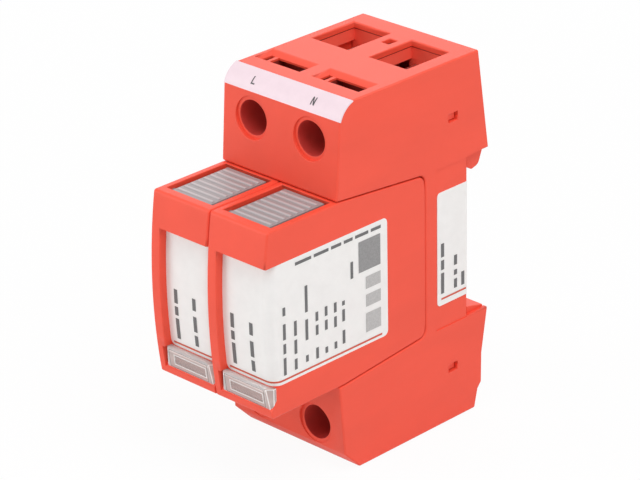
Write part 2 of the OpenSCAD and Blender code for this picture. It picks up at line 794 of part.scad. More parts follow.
module window_outline(front_offset) {
  intersection() {
    polygon([[-front_d - over, -window_top], [window_rear_y, -window_top], [window_rear_y, -window_top - 3],
      [window_rear_y - 1.6, -window_bottom], [-front_d - over, -window_bottom]]);
    translate([front_c, 0]) circle(front_r - front_offset, $fn = 720);
  }
}

module window_place(x1) {
  x0 = -module_w / 2 + window_rim;
  translate([(x0 + x1) / 2, 0, 0]) along_x(x1 - x0) children();
}

module module_cover(side) {
  color("tomato") at_pole(side) difference() {
    along_x(module_w) module_outline();
    along_x(cover_inner_w) cover_hollow();
    panel_cut();
    label_film(over);
    window_place(module_w / 2 + over) window_outline(-over);
    block(-cover_inner_w / 2, cover_inner_w / 2, window_rear_y - over, cover_front_y + over,
      -window_bottom + slide_gap, -window_top - slide_gap);
    for (level = [upper, lower]) at_level(level) {
      block(-cover_inner_w / 2, cover_inner_w / 2, -key_front_d - key_gap, key_rear_y + key_gap,
        module_top - cover_wall - over, module_top + over);
      block(-latch_w / 2 - key_gap, latch_w / 2 + key_gap, latch_y - key_gap, latch_y + latch_l + key_gap,
        module_top - cover_wall - over, module_top + over);
      translate([0, key_pivot_y, key_pivot_z]) rotate([0, 90, 0])
        cylinder(d = pivot_dia + 2 * pin_gap, h = cover_inner_w + 2 * pivot_l, center = true);
    }
  }
}

module module_carrier(side) {
  rear_z = bay_z(module_rear_y) - bay_gap - cover_wall - touch_gap;
  shelf_front = flag_y + flag_t + 2 * slide_gap;
  color("firebrick") at_pole(side) difference() {
    union() {
      block(-carrier_w / 2, carrier_w / 2, flange_y, module_rear_y, -rear_z, rear_z);
      for (level = [upper, lower]) at_level(level)
        block(-carrier_w / 2, carrier_w / 2, shelf_front, flange_y, shelf_z, shelf_z + shelf_t);
    }
    for (level = [upper, lower]) at_level(level)
      block(-blade_w / 2, blade_w / 2, flange_y - over, module_rear_y + over,
        blade_z - blade_t / 2, blade_z + blade_t / 2);
  }
}

module module_label(side) {
  color("white") at_pole(side) label_film(0);
}

// Clear lens with bevelled edges
module indicator_window(side) {
  x0 = -module_w / 2 + window_rim;
  x1 = module_w / 2;
  inset = 0.35;
  bevel = 1.6;
  face_y = -front_d + inset + 0.5;
  pocket_left = 3.3;
  pocket_right = 2.6;
  pocket_x0 = x0 + pocket_left;
  pocket_x1 = x1 - pocket_right;
  pocket_h = 2.2;
  pocket_z = -(window_top + window_bottom) / 2;
  lens_t = 0.9;
  color("gainsboro", 0.5) at_pole(side) difference() {
    intersection() {
      window_place(x1) window_outline(inset);
      translate([0, 0, -window_bottom - over]) linear_extrude(window_h + 2 * over)
        polygon([[x0, window_rear_y + over], [x0, face_y + bevel], [x0 + bevel, face_y], [x1 - bevel, face_y],
          [x1, face_y + bevel], [x1, window_rear_y + over]]);
    }
    block(pocket_x0, pocket_x1, face_y + lens_t, window_rear_y + over,
      pocket_z - pocket_h / 2, pocket_z + pocket_h / 2);
  }
}

trip_x = -4;
trip_seat_w = 3;
trip_seat_l = 3.4;
trip_seat_t = 1;
trip_seat_z = -window_top + 2.6;

module indicator_flag(side) {
  half_w = cover_inner_w / 2 - 1.2;
  color("lightgray") at_pole(side) union() {
    block(-half_w, half_w, flag_y, flag_y + flag_t, -window_bottom, trip_seat_z);
    block(trip_x - trip_seat_w / 2, trip_x + trip_seat_w / 2, flag_y, flag_y + flag_t + trip_seat_l,
      trip_seat_z, trip_seat_z + trip_seat_t);
  }
}

module trip_spring(side) {
  wire_dia = 0.5;
  coil_r = 1.1;
  color("silver") at_pole(side) translate([trip_x, flag_y + flag_t + trip_seat_l / 2, 0])
    coil(coil_r, wire_dia, trip_seat_z + trip_seat_t, shelf_z, turns = 6);
}

pad_inset = 6;
pad_r = 2.2;
pad_h = 0.3;
varistor_l = 32;

module varistor(side) {
  rear_y = flange_y - flange_t - 2.6;
  front_y = rear_y - varistor_l;
  half = shelf_z - touch_gap;
  corner_r = 4;
  color("royalblue") at_pole(side) union() {
    translate([(varistor_x0 + varistor_x1) / 2, 0, 0]) along_x(varistor_t)
      polygon(rounded([[front_y, -half], [rear_y, -half], [rear_y, half], [front_y, half]],
        [corner_r, corner_r, corner_r, corner_r]));
    // Solder pad that holds the disconnector arm
    translate([varistor_x1, front_y + pad_inset, -blade_z]) rotate([0, 90, 0]) cylinder(r = pad_r, h = pad_h);
  }
}

module blade_bar() {
  block(-blade_w / 2, blade_w / 2, flange_y, module_rear_y + blade_l,
    blade_z - blade_t / 2, blade_z + blade_t / 2);
}

module upper_blade(side) {
  strap_l = 16;
  strap_x = varistor_x0 - strap_t;
  z0 = blade_z - flange_h / 2;
  z1 = blade_z + flange_h / 2;
  color("peru") at_pole(side) union() {
    blade_bar();
    block(strap_x, blade_w / 2, flange_y - flange_t, flange_y, z0, z1);
    block(strap_x, varistor_x0, flange_y - flange_t - strap_l, flange_y, z0, z1);
  }
}

arm_t = 0.8;
arm_w = 4.4;
barrel_r = 0.9;
arm_x0 = varistor_x1 + pad_h + pin_gap;
arm_pivot_y = flange_y - flange_t - barrel_r - slide_gap;

module lower_blade(side) {
  color("peru") at_pole(side) mirror([0, 0, 1]) union() {
    blade_bar();
    block(-blade_w / 2, blade_w / 2, flange_y - flange_t, flange_y,
      blade_z - flange_h / 2, blade_z + flange_h / 2);
  }
}

module disconnector_arm(side) {
  arm_l = 29;
  color("peru") at_pole(side) union() {
    block(arm_x0, arm_x0 + arm_t, arm_pivot_y - arm_l, arm_pivot_y,
      -blade_z - arm_w / 2, -blade_z + arm_w / 2);
    translate([arm_x0 + arm_t / 2, arm_pivot_y, -blade_z]) cylinder(r = barrel_r, h = arm_w, center = true);
  }
}

// Key plate and its low ribs

module key_outline() {
  polygon(rounded([[-key_front_d, key_top - key_t], [key_rear_y, key_top - key_t],
    [key_rear_y, key_top], [-key_front_d, key_top]], [0, 0, 0.3, 0.3]));
}

module rib_outlines() {
  rib_start = 0.8;
  sunk = 0.1;
  ribs = floor((key_l - 1) / rib_pitch);
  for (i = [0 : ribs - 1])
    translate([-key_front_d + rib_start + i * rib_pitch, key_top - sunk])
      polygon([[0, 0], [rib_pitch * 0.62, 0],
        [rib_pitch * 0.45, rib_h + sunk], [rib_pitch * 0.17, rib_h + sunk]]);
}

// Arm under the cover's top wall with the latch nose at its end
module latch_outline() {
  arm_top = bay_z(latch_y) - bay_gap - cover_wall - 2 * slide_gap;
  arm_bottom = arm_top - latch_t;
  nose_y = latch_y + latch_l;
  nose_top = bay_z(nose_y) - bay_gap - touch_gap;
  root_y = key_rear_y - fixed_gap;
  root_z = key_top - key_t + slide_gap;
  root_l = 2.8;
  polygon([[root_y - root_l, arm_bottom], [nose_y, arm_bottom], [nose_y, nose_top - 0.6],
    [nose_y - 0.8, nose_top], [latch_y, nose_top], [latch_y, arm_top],
    [root_y, arm_top], [root_y, root_z], [root_y - root_l, root_z]]);
}

module key(level, side) {
  rib_inset = 0.5;
  color("darkgray") at_level(level) at_pole(side) union() {
    along_x(key_w) key_outline();
    along_x(key_w - 2 * rib_inset) rib_outlines();
    along_x(latch_w) latch_outline();
    translate([0, key_pivot_y, key_pivot_z]) rotate([0, 90, 0])
      cylinder(d = pivot_dia, h = cover_inner_w + 2 * pivot_l - fixed_gap, center = true);
  }
}

module key_spring(level, side) {
  wire_dia = 0.5;
  coil_r = 1.8;
  color("silver") at_level(level) at_pole(side) translate([0, key_spring_y, 0])
    coil(coil_r, wire_dia, shelf_z + shelf_t, key_top - key_t - slide_gap, turns = 3);
}

base_housing();
rear_insert();
terminal_holder(upper);  // upper_terminal_holder
terminal_holder(lower);  // lower_terminal_holder
rail_foot();
foot_spring();
marking_strip();
base_label();
terminal_screw(upper, left);  // terminal_screw_upper_left
terminal_screw(upper, right);  // terminal_screw_upper_right
terminal_screw(lower, left);  // terminal_screw_lower_left
terminal_screw(lower, right);  // terminal_screw_lower_right
terminal_cage(upper, left);  // terminal_cage_upper_left
terminal_cage(upper, right);  // terminal_cage_upper_right
terminal_cage(lower, left);  // terminal_cage_lower_left
terminal_cage(lower, right);  // terminal_cage_lower_right
contact_strip(upper, left);  // contact_strip_upper_left
contact_strip(upper, right);  // contact_strip_upper_right
contact_strip(lower, left);  // contact_strip_lower_left
contact_strip(lower, right);  // contact_strip_lower_right
module_cover(left);  // module_cover_left
module_cover(right);  // module_cover_right
module_carrier(left);  // module_carrier_left
module_carrier(right);  // module_carrier_right
module_label(left);  // module_label_left
module_label(right);  // module_label_right
indicator_window(left);  // indicator_window_left
indicator_window(right);  // indicator_window_right
indicator_flag(left);  // indicator_flag_left
indicator_flag(right);  // indicator_flag_right
trip_spring(left);  // trip_spring_left
trip_spring(right);  // trip_spring_right
varistor(left);  // varistor_left
varistor(right);  // varistor_right
upper_blade(left);  // upper_blade_left
upper_blade(right);  // upper_blade_right
lower_blade(left);  // lower_blade_left
lower_blade(right);  // lower_blade_right
disconnector_arm(left);  // disconnector_arm_left
disconnector_arm(right);  // disconnector_arm_right
key(upper, left);  // upper_key_left
key(upper, right);  // upper_key_right
key(lower, left);  // lower_key_left
key(lower, right);  // lower_key_right
key_spring(upper, left);  // upper_key_spring_left
key_spring(upper, right);  // upper_key_spring_right
key_spring(lower, left);  // lower_key_spring_left
key_spring(lower, right);  // lower_key_spring_right
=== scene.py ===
"""Looks of a two-pole surge arrester: red mouldings, film labels, clear windows and metal terminals."""
import json
import math

import bmesh
import bpy
from mathutils import Matrix, Vector


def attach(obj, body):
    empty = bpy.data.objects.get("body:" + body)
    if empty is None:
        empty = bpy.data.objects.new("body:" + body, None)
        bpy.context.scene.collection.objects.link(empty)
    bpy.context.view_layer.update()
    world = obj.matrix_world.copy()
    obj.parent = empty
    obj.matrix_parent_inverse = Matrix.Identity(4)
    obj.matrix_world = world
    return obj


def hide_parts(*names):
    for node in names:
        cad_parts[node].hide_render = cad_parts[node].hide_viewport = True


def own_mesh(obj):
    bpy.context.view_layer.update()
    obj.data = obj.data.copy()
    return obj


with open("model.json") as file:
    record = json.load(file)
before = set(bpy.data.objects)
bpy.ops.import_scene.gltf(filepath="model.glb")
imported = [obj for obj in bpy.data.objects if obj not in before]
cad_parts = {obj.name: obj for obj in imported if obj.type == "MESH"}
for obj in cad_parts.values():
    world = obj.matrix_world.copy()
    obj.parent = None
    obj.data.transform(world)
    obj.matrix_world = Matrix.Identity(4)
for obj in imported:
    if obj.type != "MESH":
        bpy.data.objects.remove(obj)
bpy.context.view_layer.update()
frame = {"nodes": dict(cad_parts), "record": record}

MM = 0.001
CAD_NODES = frame["nodes"]
BODY_OF = {node: body for body, group in frame["record"]["behaviour"]["bodies"].items() for node in group}
SLOT_OF = {row["node"]: row["material_slot"] for row in frame["record"]["subparts"]}
SIDES = {"left": -9.0, "right": 9.0}
LEVELS = ("upper", "lower")

# Sizes of the base in millimetres, as in the part's source
BODY_HALF_W = 18.0
HALF_H = 45.0
SCREW_Z = 34.85
SHAFT_R = 4.1
STRIP_AXIS = (-35.031, 38.983)
STRIP_R = 6.3
STRIP_MIDDLE = math.radians(134.3)
BASE_LABEL_X = 17.95
BASE_LABEL_Y0 = -10.0

# Sizes of a module in millimetres, as in the part's source
MODULE_HALF_W = 8.9
FRONT_AXIS_Y = 72.6
PANEL_R = 136.0
LABEL_X0 = -6.0
LABEL_CORNER_R = 2.5
LABEL_CORNER_X = MODULE_HALF_W - LABEL_CORNER_R
WINDOW_TOP = -15.2
KEY_FACE_Z = 22.05
KEY_RIB_H = 0.2

# Limits that pick out edges and faces of the base, in millimetres
SHAFT_MOUTH_R = 5.1
SHAFT_MOUTH_Y = -40.5
BLOCK_FRONT_Y = -42.3
CHAMFER_TOP_Z = -40
CHAMFER_REAR_Y = -40
SPINE_FRONT_Y = -10.6
SPINE_HALF_H = 20.15
ENTRY_FRONT_Y = -25
# SLOT_REAR_Y and SEAM_Z also bound the painted shade on the terminal holders
SLOT_REAR_Y = -26.35
SEAM_Z = 43.3
SNAP_SIDE = (-4.7, 31.35)
SNAP_SIDE_REACH = (1.7, 1.2)
SNAP_TOP_REACH = 3
STRIP_FOOT_Z = 40.9
STRIP_REAR_Y = -36.8
RAIL_SEAT_Y = 1.3
FOOT_HALF_W = 10.5

# Limits that pick out edges of a module, in millimetres
PANEL_Y = -62.5
PANEL_TOP = 14.05
SIDE_PANEL_TOP = 14.2
BAY_MOUTH_Y = -42
BROW_Y = -63.0
BROW_Z = 22
KEY_WELL_Z = 22.4
KEY_PLATE_Z = 18.8
WINDOW_FOOT = -20.6
WINDOW_SIDE_Y = -61
SILL_TOP = -20.3
SILL_REAR_Y = -60
LENS_LEFT_X = -5

# Sizes on the lens in millimetres: clear field, bead around it, groove and rim of the frame
LENS_R = 137.65
VIEW_X = 1.3
VIEW_Z = -17.825
VIEW_HALF = (5.0, 1.1)
BEAD_W = 0.22
BEAD_H = 0.07
BEAD_ROOT = 0.02
RIM_X = 0.75
RIM_HALF = (6.05, 2.1)
RIM_END = 7.2
GROOVE = 0.2

# Widths of the roundings in millimetres
HOUSING_EDGE = 0.5
ENTRY_EDGE = 0.35
OPENING_EDGE = 0.22
SHAFT_EDGE = 0.18
SNAP_EDGE = 0.12
INSERT_EDGE = 0.2
FOOT_EDGE = 0.25
BROW_EDGE = 0.7
COVER_EDGE = 0.55
COVER_INNER_EDGE = 0.3
SILL_EDGE = 0.25
WINDOW_SEAT_EDGE = 0.1
WELL_EDGE = 0.2
PANEL_SIDE_EDGE = 0.25
PANEL_TOP_EDGE = 0.15
LENS_CORNER_EDGE = 0.8
LENS_SIDE_EDGE = 0.14
KEY_EDGE = 0.15
METAL_EDGE = 0.12

# How edges and faces are told apart: millimetres, parts of a unit normal, degrees, and metres for the weld
ON_EDGE = 0.02
NEAR = 0.1
STRAIGHT = 0.99
FACING = 0.9
ASKEW = 0.1
CREASE = 26
FLAT = 0.5
WELD = 2e-6

# Colours, linear
RED = (0.875, 0.083, 0.043)
DEEP_RED = (0.55, 0.035, 0.022)
# Painted shade: the darker red of the screwdriver shaft walls
SHAFT_PAINTED_SHADE_RED = (0.56, 0.040, 0.030)
# Painted light: the terminal holders' red, paler than the housing's, for the lit walls of the conductor
# entries
HOLDER_PAINTED_LIGHT_RED = (0.96, 0.12, 0.075)
# Painted shade: the holders' dark red at the seam under the housing's edge and in the busbar slots
HOLDER_PAINTED_SHADE = (0.28, 0.027, 0.018)
# Release keys: the darker ground between the ribs is painted shade and the paler rib tops are painted
# highlight
KEY_GROOVE_SHADE = (0.33, 0.30, 0.305)
KEY_RIB_HIGHLIGHT = (0.53, 0.49, 0.50)
FILM_WHITE = (0.86, 0.845, 0.83)
STRIP_WHITE = (0.80, 0.645, 0.70)
RULE_RED = (0.62, 0.085, 0.04)
INK_GREY = (0.13, 0.128, 0.13)
MARK_GREY = (0.06, 0.057, 0.062)
FIELD_GREY = (0.27, 0.265, 0.265)
PALE_GREY = (0.47, 0.46, 0.455)
FLAG_GREY = (0.82, 0.60, 0.56)
LENS_CLEAR = (0.90, 0.78, 0.75)
LENS_MILKY = (0.86, 0.70, 0.66)
# Lens: the near-white rim, edges and bead are painted highlight, and the dark groove band is painted shade
LENS_PAINTED_HIGHLIGHT = (0.93, 0.90, 0.89)
LENS_GROOVE_SHADE = (0.36, 0.30, 0.28)
STEEL = (0.74, 0.73, 0.70)
SPRING_STEEL = (0.58, 0.58, 0.58)
COPPER = (0.80, 0.47, 0.30)
COATING_BLUE = (0.05, 0.12, 0.32)
FLOOR_GREY = (0.86, 0.86, 0.86)
WHITE = (1, 1, 1, 1)

# Noise between these two values runs through the whole of what it drives
NOISE_LOW = 0.3
NOISE_HIGH = 0.7
LENS_IOR = 1.49
CLEAR_SHARE = 0.8
MILKY_SHARE = 0.5
LINE_SHARE = 0.15


# Materials

def new_material(name):
    """An empty material with its node tree and its main shader."""
    material = bpy.data.materials.new(name)
    material.use_nodes = True
    tree = material.node_tree
    return material, tree, tree.nodes["Principled BSDF"]


def add_noise(tree, scale, detail=2.0, stretch=(1, 1, 1)):
    """Noise on object coordinates; scale is in features per metre."""
    coord = tree.nodes.new("ShaderNodeTexCoord")
    mapping = tree.nodes.new("ShaderNodeMapping")
    mapping.inputs["Scale"].default_value = stretch
    noise = tree.nodes.new("ShaderNodeTexNoise")
    noise.inputs["Scale"].default_value = scale
    noise.inputs["Detail"].default_value = detail
    tree.links.new(coord.outputs["Object"], mapping.inputs["Vector"])
    tree.links.new(mapping.outputs["Vector"], noise.inputs["Vector"])
    return noise.outputs["Fac"]


def tint(tree, shader, fac, dark, light):
    """Base colour that drifts between two tones."""
    ramp = tree.nodes.new("ShaderNodeValToRGB")
    ramp.color_ramp.elements[0].position = NOISE_LOW
    ramp.color_ramp.elements[1].position = NOISE_HIGH
    ramp.color_ramp.elements[0].color = (*dark, 1)
    ramp.color_ramp.elements[1].color = (*light, 1)
    tree.links.new(fac, ramp.inputs["Fac"])
    tree.links.new(ramp.outputs["Color"], shader.inputs["Base Color"])


def spread(tree, fac, low, high, socket):
    """Drives a socket between two values by a noise."""
    span = tree.nodes.new("ShaderNodeMapRange")
    span.inputs["From Min"].default_value = NOISE_LOW
    span.inputs["From Max"].default_value = NOISE_HIGH
    span.inputs["To Min"].default_value = low
    span.inputs["To Max"].default_value = high
    tree.links.new(fac, span.inputs["Value"])
    tree.links.new(span.outputs["Result"], socket)


def bump(tree, shader, height, strength, distance_mm):
    """Surface relief from a height."""
    node = tree.nodes.new("ShaderNodeBump")
    node.inputs["Strength"].default_value = strength
    node.inputs["Distance"].default_value = distance_mm * MM
    tree.links.new(height, node.inputs["Height"])
    tree.links.new(node.outputs["Normal"], shader.inputs["Normal"])


def math_node(tree, operation, first, second):
    """One step of arithmetic on a socket; the second value is a number or a socket."""
    node = tree.nodes.new("ShaderNodeMath")
    node.operation = operation
    tree.links.new(first, node.inputs[0])
    if isinstance(second, float):
        node.inputs[1].default_value = second
    else:
        tree.links.new(second, node.inputs[1])
    return node.outputs["Value"]


def mix_colour(tree, share, first, second):
    """A mix of two colours, each of them a value or a socket; share is the second one's part."""
    mix = tree.nodes.new("ShaderNodeMixRGB")
    for socket, colour in (("Color1", first), ("Color2", second)):
        if isinstance(colour, tuple):
            mix.inputs[socket].default_value = (*colour, 1)
        else:
            tree.links.new(colour, mix.inputs[socket])
    tree.links.new(share, mix.inputs["Fac"])
    return mix.outputs["Color"]


def object_axes(tree):
    """Object coordinates, one socket for each axis."""
    coord = tree.nodes.new("ShaderNodeTexCoord")
    axes = tree.nodes.new("ShaderNodeSeparateXYZ")
    tree.links.new(coord.outputs["Object"], axes.inputs["Vector"])
    return axes.outputs


def scaled(colour, factor):
    """A colour made darker or paler."""
    return tuple(min(1.0, c * factor) for c in colour)


def moulded_plastic(name, colour, rough=(0.46, 0.58)):
    """Plastic from a spark-eroded mould: fine grain, faint flow marks."""
    material, tree, shader = new_material(name)
    flow = add_noise(tree, scale=110, detail=3.0, stretch=(1, 0.35, 1))
    tint(tree, shader, flow, dark=scaled(colour, 0.965), light=scaled(colour, 1.03))
    pits = add_noise(tree, scale=5200)
    spread(tree, pits, rough[0], rough[1], shader.inputs["Roughness"])
    bump(tree, shader, pits, strength=0.22, distance_mm=0.03)
    shader.inputs["Specular IOR Level"].default_value = 0.42
    return material


def ribbed_plastic(name, shaded_ground, lit_ridge):
    """Plastic of a release key: the rib tops are paler, painted highlight, and the ground between them
    darker, painted shade.
    """
    material = moulded_plastic(name, lit_ridge, rough=(0.42, 0.52))
    tree = material.node_tree
    base = tree.nodes["Principled BSDF"].inputs["Base Color"]
    flow = base.links[0].from_socket
    raised = tree.nodes.new("ShaderNodeMapRange")
    raised.inputs["From Min"].default_value = KEY_FACE_Z * MM
    raised.inputs["From Max"].default_value = (KEY_FACE_Z + KEY_RIB_H) * MM
    tree.links.new(math_node(tree, "ABSOLUTE", object_axes(tree)["Z"], 0.0), raised.inputs["Value"])
    tree.links.new(mix_colour(tree, raised.outputs["Result"], shaded_ground, flow), base)
    return material


def holder_plastic(name):
    """Plastic of the terminal holders: a paler red than the housing's, painted light on the conductor entry
    walls, and dark painted shade at the seam below the housing's top and in the busbar slots.
    """
    material = moulded_plastic(name, HOLDER_PAINTED_LIGHT_RED)
    tree = material.node_tree
    base = tree.nodes["Principled BSDF"].inputs["Base Color"]
    flow = base.links[0].from_socket
    axes = object_axes(tree)
    # Painted shade: dark red above SEAM_Z, under the housing's edge, and in front of SLOT_REAR_Y, inside the
    # busbar slots
    height = math_node(tree, "ABSOLUTE", axes["Z"], 0.0)
    seam = math_node(tree, "GREATER_THAN", height, SEAM_Z * MM)
    slot = math_node(tree, "LESS_THAN", axes["Y"], SLOT_REAR_Y * MM)
    shade = math_node(tree, "MAXIMUM", seam, slot)
    tree.links.new(mix_colour(tree, shade, flow, HOLDER_PAINTED_SHADE), base)
    return material


def printed_film(name, colour):
    """Satin label film: slight mottle and a hardly uneven surface."""
    material, tree, shader = new_material(name)
    mottle = add_noise(tree, scale=420, detail=3.0)
    tint(tree, shader, mottle, dark=scaled(colour, 0.98), light=scaled(colour, 1.015))
    skin = add_noise(tree, scale=1500)
    spread(tree, skin, low=0.36, high=0.46, socket=shader.inputs["Roughness"])
    bump(tree, shader, skin, strength=0.05, distance_mm=0.02)
    shader.inputs["Specular IOR Level"].default_value = 0.4
    return material


def ink(name, colour):
    """Printing ink with uneven cover."""
    material, tree, shader = new_material(name)
    cover = add_noise(tree, scale=2600, detail=3.0)
    tint(tree, shader, cover, dark=scaled(colour, 0.9), light=scaled(colour, 1.12))
    spread(tree, cover, low=0.4, high=0.5, socket=shader.inputs["Roughness"])
    return material


def drawn_metal(name, colour, rough, stretch):
    """Plated or drawn metal with fine lines along the way it was worked."""
    material, tree, shader = new_material(name)
    lines = add_noise(tree, scale=900, detail=4.0, stretch=stretch)
    tint(tree, shader, lines, dark=scaled(colour, 0.86), light=scaled(colour, 1.08))
    spread(tree, lines, rough[0], rough[1], shader.inputs["Roughness"])
    bump(tree, shader, lines, strength=0.12, distance_mm=0.02)
    shader.inputs["Metallic"].default_value = 1.0
    return material


def lens_surface(tree, shader):
    """Smooth, slightly wavy surface of moulded clear plastic; gives the noise of its waves."""
    waves = add_noise(tree, scale=700)
    spread(tree, waves, low=0.05, high=0.12, socket=shader.inputs["Roughness"])
    bump(tree, shader, waves, strength=0.04, distance_mm=0.03)
    shader.inputs["IOR"].default_value = LENS_IOR
    return waves


def pale_plastic(name, colour, through):
    """Near-white milky plastic for the edges and bead of a lens, its paleness painted highlight; through is
    the share of light that they let pass.
    """
    material, tree, shader = new_material(name)
    waves = lens_surface(tree, shader)
    tint(tree, shader, waves, dark=scaled(colour, 0.97), light=scaled(colour, 1.02))
    shader.inputs["Transmission Weight"].default_value = through
    return material


def past_frame(tree, axes, middle, half):
    """How far a point of a lens lies outside an upright rectangle."""
    reach = []
    for axis, centre, span in zip("XZ", middle, half):
        off = math_node(tree, "SUBTRACT", axes[axis], centre * MM)
        away = math_node(tree, "ABSOLUTE", off, 0.0)
        reach.append(math_node(tree, "SUBTRACT", away, span * MM))
    return math_node(tree, "MAXIMUM", reach[0], reach[1])


def window_plastic(name, pole_x):
    """Indicator lens: a clear field in a milky frame, with a dark band of painted shade for a groove and a
    pale band of painted highlight for a rim.
    """
    material, tree, shader = new_material(name)
    axes = object_axes(tree)
    past_view = past_frame(tree, axes, (pole_x + VIEW_X, VIEW_Z), VIEW_HALF)
    framed = math_node(tree, "GREATER_THAN", past_view, 0.0)
    past_rim = past_frame(tree, axes, (pole_x + RIM_X, VIEW_Z), RIM_HALF)
    on_front = math_node(tree, "LESS_THAN", axes["X"], (pole_x + RIM_END) * MM)
    edge = math_node(tree, "MULTIPLY", on_front, math_node(tree, "GREATER_THAN", past_rim, 0.0))
    rim = math_node(tree, "MULTIPLY", on_front, math_node(tree, "GREATER_THAN", past_rim, GROOVE * MM))
    colour = LENS_CLEAR
    # The groove's dark band is painted shade and the rim's pale band is painted highlight
    for share, next_colour in ((framed, LENS_MILKY), (edge, LENS_GROOVE_SHADE), (rim, LENS_PAINTED_HIGHLIGHT)):
        colour = mix_colour(tree, share, colour, next_colour)
    tree.links.new(colour, shader.inputs["Base Color"])
    clear = tree.nodes.new("ShaderNodeMapRange")
    clear.inputs["To Min"].default_value = CLEAR_SHARE
    clear.inputs["To Max"].default_value = MILKY_SHARE
    tree.links.new(framed, clear.inputs["Value"])
    tree.links.new(clear.outputs["Result"], shader.inputs["Transmission Weight"])
    lens_surface(tree, shader)
    return material


def dipped_coating(name, colour):
    """Thick glossy epoxy coat with a soft orange-peel skin."""
    material, tree, shader = new_material(name)
    peel = add_noise(tree, scale=380)
    tint(tree, shader, peel, dark=scaled(colour, 0.85), light=scaled(colour, 1.15))
    spread(tree, peel, low=0.22, high=0.34, socket=shader.inputs["Roughness"])
    bump(tree, shader, peel, strength=0.25, distance_mm=0.15)
    return material


FINISHES = {
    "red_plastic": moulded_plastic("red_plastic", RED),
    "dark_red_plastic": moulded_plastic("dark_red_plastic", DEEP_RED),
    "grey_plastic": ribbed_plastic("grey_plastic", KEY_GROOVE_SHADE, KEY_RIB_HIGHLIGHT),
    "white_film": printed_film("white_film", FILM_WHITE),
    "white_print": printed_film("white_print", STRIP_WHITE),
    "plated_steel": drawn_metal("plated_steel", STEEL, rough=(0.2, 0.34), stretch=(1, 0.08, 1)),
    "spring_steel": drawn_metal("spring_steel", SPRING_STEEL, rough=(0.22, 0.34), stretch=(1, 1, 0.2)),
    "copper": drawn_metal("copper", COPPER, rough=(0.26, 0.4), stretch=(1, 0.1, 1)),
    "varistor_coating": dipped_coating("varistor_coating", COATING_BLUE),
}
LENS_HIGHLIGHT_EDGE = pale_plastic("lens_highlight_edge", LENS_PAINTED_HIGHLIGHT, LINE_SHARE)
FLAG_PLASTIC = moulded_plastic("flag_plastic", FLAG_GREY)
HOLDER_PLASTIC = holder_plastic("holder_plastic")
# Painted shade: a darker red finish for the walls of the screwdriver shafts
SHAFT_PAINTED_SHADE = moulded_plastic("shaft_painted_shade", SHAFT_PAINTED_SHADE_RED, rough=(0.7, 0.8))
WINDOW_PLASTIC = {side: window_plastic("window_" + side, pole_x) for side, pole_x in SIDES.items()}
RULE_INK = ink("rule_ink", RULE_RED)
GREY_INK = ink("grey_ink", INK_GREY)
MARK_INK = ink("mark_ink", MARK_GREY)
FIELD_INK = ink("field_ink", FIELD_GREY)
PALE_INK = ink("pale_ink", PALE_GREY)


def finish_of(node):
    """Material of a CAD node."""
    if node.startswith("indicator_flag"):
        return FLAG_PLASTIC
    if node.endswith("terminal_holder"):
        return HOLDER_PLASTIC
    if node.startswith("indicator_window"):
        return WINDOW_PLASTIC[node.rsplit("_", 1)[-1]]
    return FINISHES[SLOT_OF[node]]


# Mouldings with rounded edges

def add_piece(name, mesh, body):
    """Puts a finished mesh in the scene as a piece that rides on a body."""
    piece = bpy.data.objects.new(name, mesh)
    bpy.context.scene.collection.objects.link(piece)
    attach(piece, body)
    return piece


def mesh_of(name, points, faces, finish):
    """A mesh from points in millimetres."""
    mesh = bpy.data.meshes.new(name)
    mesh.from_pydata([tuple(c * MM for c in p) for p in points], [], faces)
    mesh.materials.append(finish)
    return mesh


def baked(obj):
    """The object's mesh with its modifiers applied; the object itself goes."""
    graph = bpy.context.evaluated_depsgraph_get()
    mesh = bpy.data.meshes.new_from_object(obj.evaluated_get(graph), depsgraph=graph)
    old = obj.data
    bpy.data.objects.remove(obj)
    if old.users == 0:
        bpy.data.meshes.remove(old)
    return mesh


def in_shaft(face):
    """Whether a face of the housing is part of the wall of a screwdriver shaft, which gets a darker red of
    painted shade.
    """
    x, y, z = face.calc_center_median() / MM
    off_shaft = math.hypot(abs(x) - SIDES["right"], abs(z) - SCREW_Z)
    return abs(face.normal.y) < ASKEW and off_shaft < SHAFT_R + NEAR


